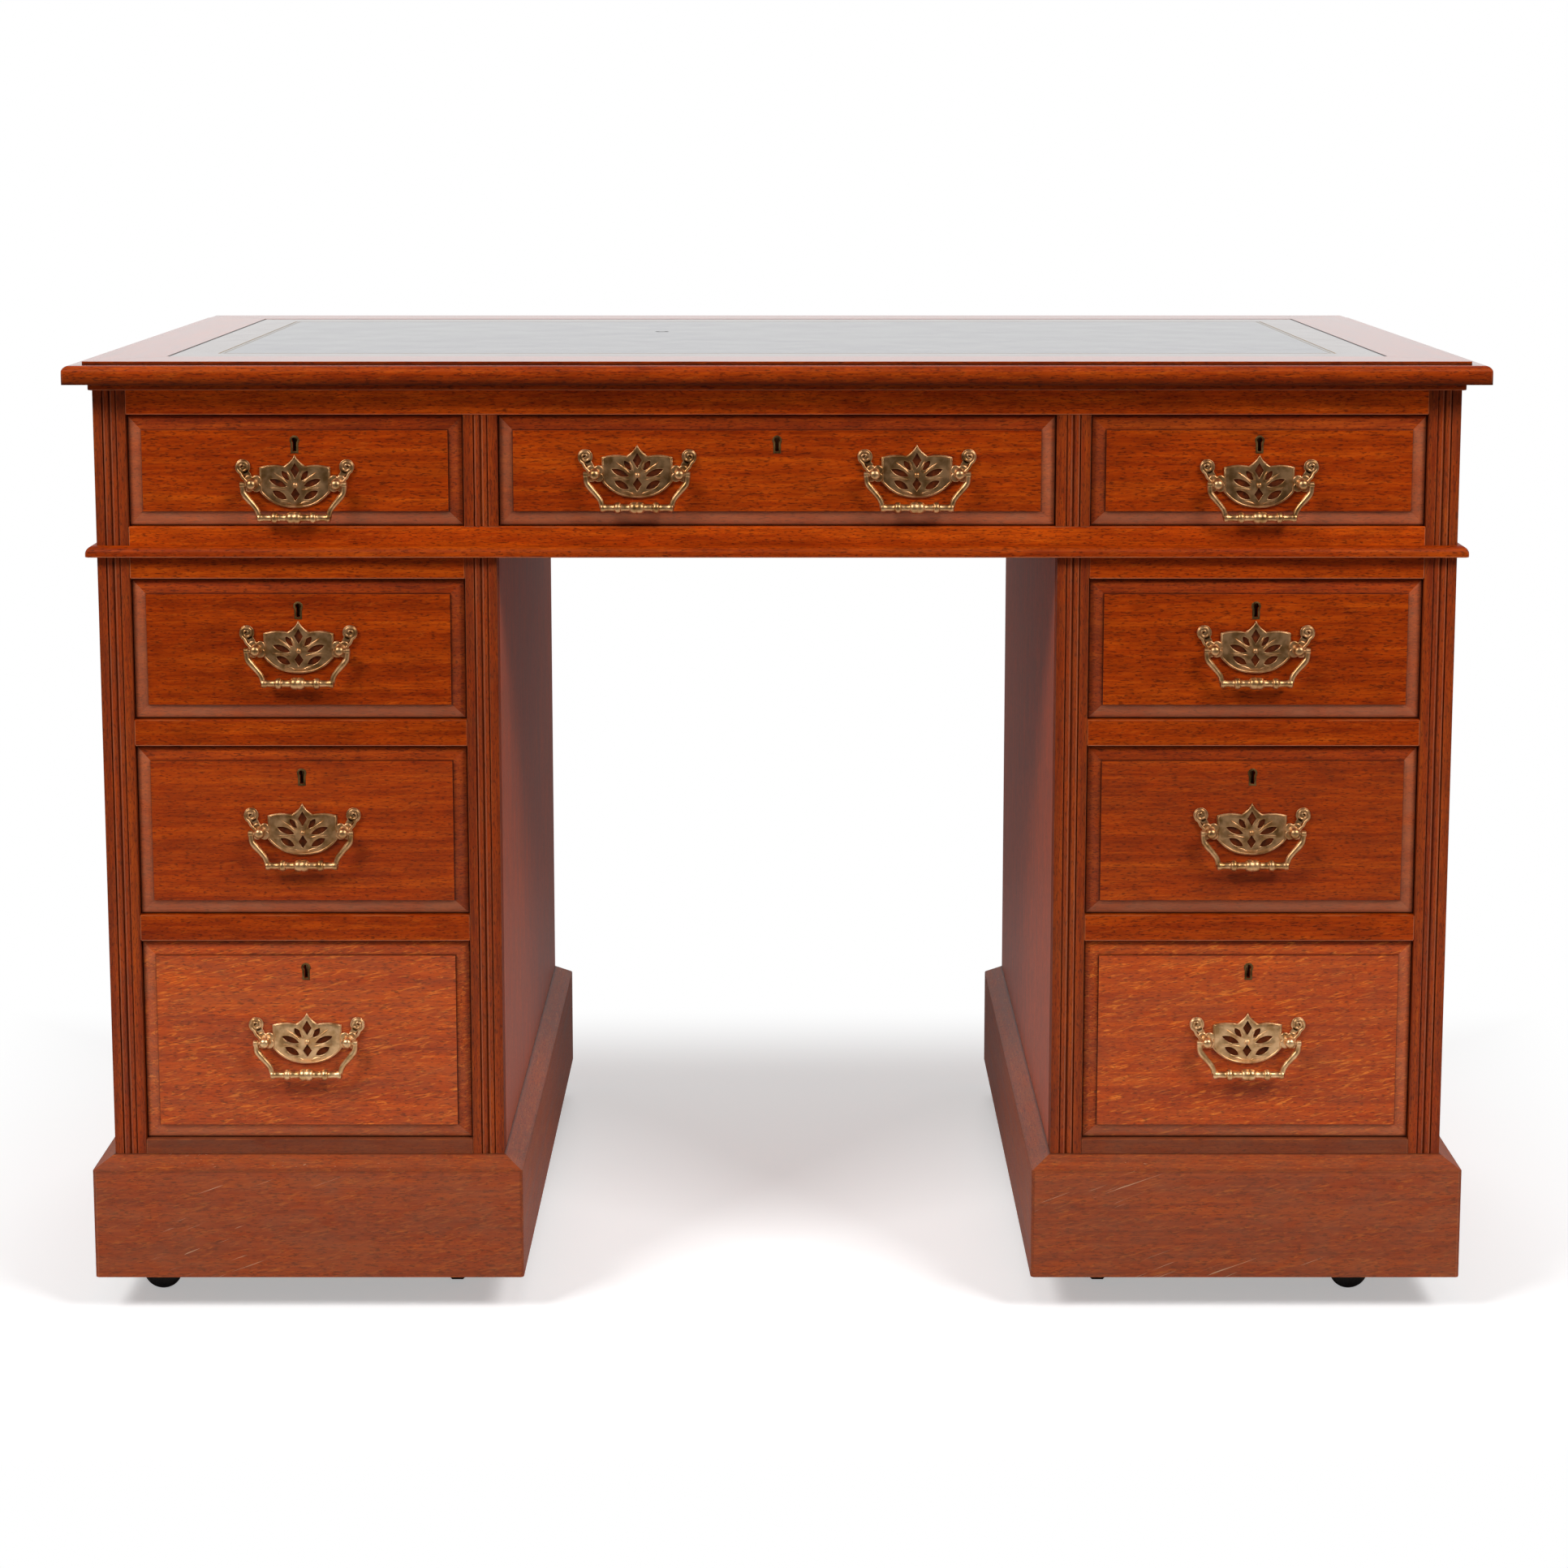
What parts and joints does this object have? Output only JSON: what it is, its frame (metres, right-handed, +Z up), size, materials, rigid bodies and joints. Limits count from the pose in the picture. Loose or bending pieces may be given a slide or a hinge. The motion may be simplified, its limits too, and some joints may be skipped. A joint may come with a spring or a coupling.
{
  "type": "pedestal desk",
  "caption": "Antique oak pedestal desk: moulded top with inset leather, frieze drawers over two pedestals of graduated drawers, pierced brass drop handles, plinths on castors.",
  "frame": {"origin": "on the floor, under the middle of the top", "axes": "+X to the right along the front, +Y from the front to the back, +Z up"},
  "size_m": [1.12, 0.64, 0.778],
  "materials": {
    "polished_oak": "french polished",
    "drawer_lining": "bare",
    "writing_leather": "satin",
    "aged_brass": "aged",
    "castor_iron": "blackened"
  },
  "bodies": {
    "desk": {"top_frame": "polished_oak", "writing_leather": "writing_leather", "frieze_case": "polished_oak", "left_pedestal_case": "polished_oak", "right_pedestal_case": "polished_oak", "left_plinth": "polished_oak", "right_plinth": "polished_oak"},
    "frieze_left_drawer": {"frieze_left_drawer_front": "polished_oak", "frieze_left_drawer_box": "drawer_lining", "frieze_left_brassware": "aged_brass"},
    "frieze_left_bail": {"frieze_left_bail": "aged_brass"},
    "frieze_centre_drawer": {"frieze_centre_drawer_front": "polished_oak", "frieze_centre_drawer_box": "drawer_lining", "frieze_centre_brassware": "aged_brass"},
    "frieze_centre_bail_left": {"frieze_centre_bail_left": "aged_brass"},
    "frieze_centre_bail_right": {"frieze_centre_bail_right": "aged_brass"},
    "frieze_right_drawer": {"frieze_right_drawer_front": "polished_oak", "frieze_right_drawer_box": "drawer_lining", "frieze_right_brassware": "aged_brass"},
    "frieze_right_bail": {"frieze_right_bail": "aged_brass"},
    "left_upper_drawer": {"left_upper_drawer_front": "polished_oak", "left_upper_drawer_box": "drawer_lining", "left_upper_brassware": "aged_brass"},
    "left_upper_bail": {"left_upper_bail": "aged_brass"},
    "left_middle_drawer": {"left_middle_drawer_front": "polished_oak", "left_middle_drawer_box": "drawer_lining", "left_middle_brassware": "aged_brass"},
    "left_middle_bail": {"left_middle_bail": "aged_brass"},
    "left_lower_drawer": {"left_lower_drawer_front": "polished_oak", "left_lower_drawer_box": "drawer_lining", "left_lower_brassware": "aged_brass"},
    "left_lower_bail": {"left_lower_bail": "aged_brass"},
    "right_upper_drawer": {"right_upper_drawer_front": "polished_oak", "right_upper_drawer_box": "drawer_lining", "right_upper_brassware": "aged_brass"},
    "right_upper_bail": {"right_upper_bail": "aged_brass"},
    "right_middle_drawer": {"right_middle_drawer_front": "polished_oak", "right_middle_drawer_box": "drawer_lining", "right_middle_brassware": "aged_brass"},
    "right_middle_bail": {"right_middle_bail": "aged_brass"},
    "right_lower_drawer": {"right_lower_drawer_front": "polished_oak", "right_lower_drawer_box": "drawer_lining", "right_lower_brassware": "aged_brass"},
    "right_lower_bail": {"right_lower_bail": "aged_brass"},
    "left_front_outer_castor_horn": {"left_front_outer_castor_horn": "castor_iron"},
    "left_front_outer_castor_wheel": {"left_front_outer_castor_wheel": "castor_iron"},
    "left_back_outer_castor_horn": {"left_back_outer_castor_horn": "castor_iron"},
    "left_back_outer_castor_wheel": {"left_back_outer_castor_wheel": "castor_iron"},
    "left_front_inner_castor_horn": {"left_front_inner_castor_horn": "castor_iron"},
    "left_front_inner_castor_wheel": {"left_front_inner_castor_wheel": "castor_iron"},
    "left_back_inner_castor_horn": {"left_back_inner_castor_horn": "castor_iron"},
    "left_back_inner_castor_wheel": {"left_back_inner_castor_wheel": "castor_iron"},
    "right_front_inner_castor_horn": {"right_front_inner_castor_horn": "castor_iron"},
    "right_front_inner_castor_wheel": {"right_front_inner_castor_wheel": "castor_iron"},
    "right_back_inner_castor_horn": {"right_back_inner_castor_horn": "castor_iron"},
    "right_back_inner_castor_wheel": {"right_back_inner_castor_wheel": "castor_iron"},
    "right_front_outer_castor_horn": {"right_front_outer_castor_horn": "castor_iron"},
    "right_front_outer_castor_wheel": {"right_front_outer_castor_wheel": "castor_iron"},
    "right_back_outer_castor_horn": {"right_back_outer_castor_horn": "castor_iron"},
    "right_back_outer_castor_wheel": {"right_back_outer_castor_wheel": "castor_iron"}
  },
  "joints": [
    {"name": "drawer_frieze_left_slide", "type": "slide", "parent": "desk", "child": "frieze_left_drawer", "axis": [0, -1, 0], "range_m": [0, 0.4]},
    {"name": "drawer_frieze_centre_slide", "type": "slide", "parent": "desk", "child": "frieze_centre_drawer", "axis": [0, -1, 0], "range_m": [0, 0.4]},
    {"name": "drawer_frieze_right_slide", "type": "slide", "parent": "desk", "child": "frieze_right_drawer", "axis": [0, -1, 0], "range_m": [0, 0.4]},
    {"name": "drawer_left_upper_slide", "type": "slide", "parent": "desk", "child": "left_upper_drawer", "axis": [0, -1, 0], "range_m": [0, 0.4]},
    {"name": "drawer_left_middle_slide", "type": "slide", "parent": "desk", "child": "left_middle_drawer", "axis": [0, -1, 0], "range_m": [0, 0.4]},
    {"name": "drawer_left_lower_slide", "type": "slide", "parent": "desk", "child": "left_lower_drawer", "axis": [0, -1, 0], "range_m": [0, 0.4]},
    {"name": "drawer_right_upper_slide", "type": "slide", "parent": "desk", "child": "right_upper_drawer", "axis": [0, -1, 0], "range_m": [0, 0.4]},
    {"name": "drawer_right_middle_slide", "type": "slide", "parent": "desk", "child": "right_middle_drawer", "axis": [0, -1, 0], "range_m": [0, 0.4]},
    {"name": "drawer_right_lower_slide", "type": "slide", "parent": "desk", "child": "right_lower_drawer", "axis": [0, -1, 0], "range_m": [0, 0.4]},
    {"name": "pull_frieze_left_bail_swing", "type": "hinge", "parent": "frieze_left_drawer", "child": "frieze_left_bail", "pos_m": [-0.382, -0.3055, 0.6805], "axis": [-1, 0, 0], "range_deg": [0, 95]},
    {"name": "pull_frieze_centre_bail_left_swing", "type": "hinge", "parent": "frieze_centre_drawer", "child": "frieze_centre_bail_left", "pos_m": [-0.11075, -0.3055, 0.6885], "axis": [-1, 0, 0], "range_deg": [0, 95]},
    {"name": "pull_frieze_centre_bail_right_swing", "type": "hinge", "parent": "frieze_centre_drawer", "child": "frieze_centre_bail_right", "pos_m": [0.11075, -0.3055, 0.6885], "axis": [-1, 0, 0], "range_deg": [0, 95]},
    {"name": "pull_frieze_right_bail_swing", "type": "hinge", "parent": "frieze_right_drawer", "child": "frieze_right_bail", "pos_m": [0.382, -0.3055, 0.6805], "axis": [-1, 0, 0], "range_deg": [0, 95]},
    {"name": "pull_left_upper_bail_swing", "type": "hinge", "parent": "left_upper_drawer", "child": "left_upper_bail", "pos_m": [-0.382, -0.3055, 0.5475], "axis": [-1, 0, 0], "range_deg": [0, 95]},
    {"name": "pull_left_middle_bail_swing", "type": "hinge", "parent": "left_middle_drawer", "child": "left_middle_bail", "pos_m": [-0.382, -0.3055, 0.399], "axis": [-1, 0, 0], "range_deg": [0, 95]},
    {"name": "pull_left_lower_bail_swing", "type": "hinge", "parent": "left_lower_drawer", "child": "left_lower_bail", "pos_m": [-0.382, -0.3055, 0.2255], "axis": [-1, 0, 0], "range_deg": [0, 95]},
    {"name": "pull_right_upper_bail_swing", "type": "hinge", "parent": "right_upper_drawer", "child": "right_upper_bail", "pos_m": [0.382, -0.3055, 0.5475], "axis": [-1, 0, 0], "range_deg": [0, 95]},
    {"name": "pull_right_middle_bail_swing", "type": "hinge", "parent": "right_middle_drawer", "child": "right_middle_bail", "pos_m": [0.382, -0.3055, 0.399], "axis": [-1, 0, 0], "range_deg": [0, 95]},
    {"name": "pull_right_lower_bail_swing", "type": "hinge", "parent": "right_lower_drawer", "child": "right_lower_bail", "pos_m": [0.382, -0.3055, 0.2255], "axis": [-1, 0, 0], "range_deg": [0, 95]},
    {"name": "swivel_left_front_outer", "type": "hinge", "parent": "desk", "child": "left_front_outer_castor_horn", "pos_m": [-0.495, -0.249, 0.05], "axis": [0, 0, 1], "continuous": true},
    {"name": "swivel_left_back_outer", "type": "hinge", "parent": "desk", "child": "left_back_outer_castor_horn", "pos_m": [-0.495, 0.254, 0.05], "axis": [0, 0, 1], "continuous": true},
    {"name": "swivel_left_front_inner", "type": "hinge", "parent": "desk", "child": "left_front_inner_castor_horn", "pos_m": [-0.269, -0.249, 0.05], "axis": [0, 0, 1], "continuous": true},
    {"name": "swivel_left_back_inner", "type": "hinge", "parent": "desk", "child": "left_back_inner_castor_horn", "pos_m": [-0.269, 0.254, 0.05], "axis": [0, 0, 1], "continuous": true},
    {"name": "swivel_right_front_inner", "type": "hinge", "parent": "desk", "child": "right_front_inner_castor_horn", "pos_m": [0.269, -0.249, 0.05], "axis": [0, 0, 1], "continuous": true},
    {"name": "swivel_right_back_inner", "type": "hinge", "parent": "desk", "child": "right_back_inner_castor_horn", "pos_m": [0.269, 0.254, 0.05], "axis": [0, 0, 1], "continuous": true},
    {"name": "swivel_right_front_outer", "type": "hinge", "parent": "desk", "child": "right_front_outer_castor_horn", "pos_m": [0.495, -0.249, 0.05], "axis": [0, 0, 1], "continuous": true},
    {"name": "swivel_right_back_outer", "type": "hinge", "parent": "desk", "child": "right_back_outer_castor_horn", "pos_m": [0.495, 0.254, 0.05], "axis": [0, 0, 1], "continuous": true},
    {"name": "wheel_left_front_outer_roll", "type": "hinge", "parent": "left_front_outer_castor_horn", "child": "left_front_outer_castor_wheel", "pos_m": [-0.513, -0.249, 0.016], "axis": [0, -1, 0], "continuous": true},
    {"name": "wheel_left_back_outer_roll", "type": "hinge", "parent": "left_back_outer_castor_horn", "child": "left_back_outer_castor_wheel", "pos_m": [-0.50975, 0.24368, 0.016], "axis": [0.5736, -0.8192, 0], "continuous": true},
    {"name": "wheel_left_front_inner_roll", "type": "hinge", "parent": "left_front_inner_castor_horn", "child": "left_front_inner_castor_wheel", "pos_m": [-0.269, -0.231, 0.016], "axis": [-1, 0, 0], "continuous": true},
    {"name": "wheel_left_back_inner_roll", "type": "hinge", "parent": "left_back_inner_castor_horn", "child": "left_back_inner_castor_wheel", "pos_m": [-0.28459, 0.263, 0.016], "axis": [-0.5, -0.866, 0], "continuous": true},
    {"name": "wheel_right_front_inner_roll", "type": "hinge", "parent": "right_front_inner_castor_horn", "child": "right_front_inner_castor_wheel", "pos_m": [0.269, -0.231, 0.016], "axis": [-1, 0, 0], "continuous": true},
    {"name": "wheel_right_back_inner_roll", "type": "hinge", "parent": "right_back_inner_castor_horn", "child": "right_back_inner_castor_wheel", "pos_m": [0.25341, 0.263, 0.016], "axis": [-0.5, -0.866, 0], "continuous": true},
    {"name": "wheel_right_front_outer_roll", "type": "hinge", "parent": "right_front_outer_castor_horn", "child": "right_front_outer_castor_wheel", "pos_m": [0.477, -0.249, 0.016], "axis": [0, -1, 0], "continuous": true},
    {"name": "wheel_right_back_outer_roll", "type": "hinge", "parent": "right_back_outer_castor_horn", "child": "right_back_outer_castor_wheel", "pos_m": [0.48025, 0.24368, 0.016], "axis": [0.5736, -0.8192, 0], "continuous": true}
  ]
}
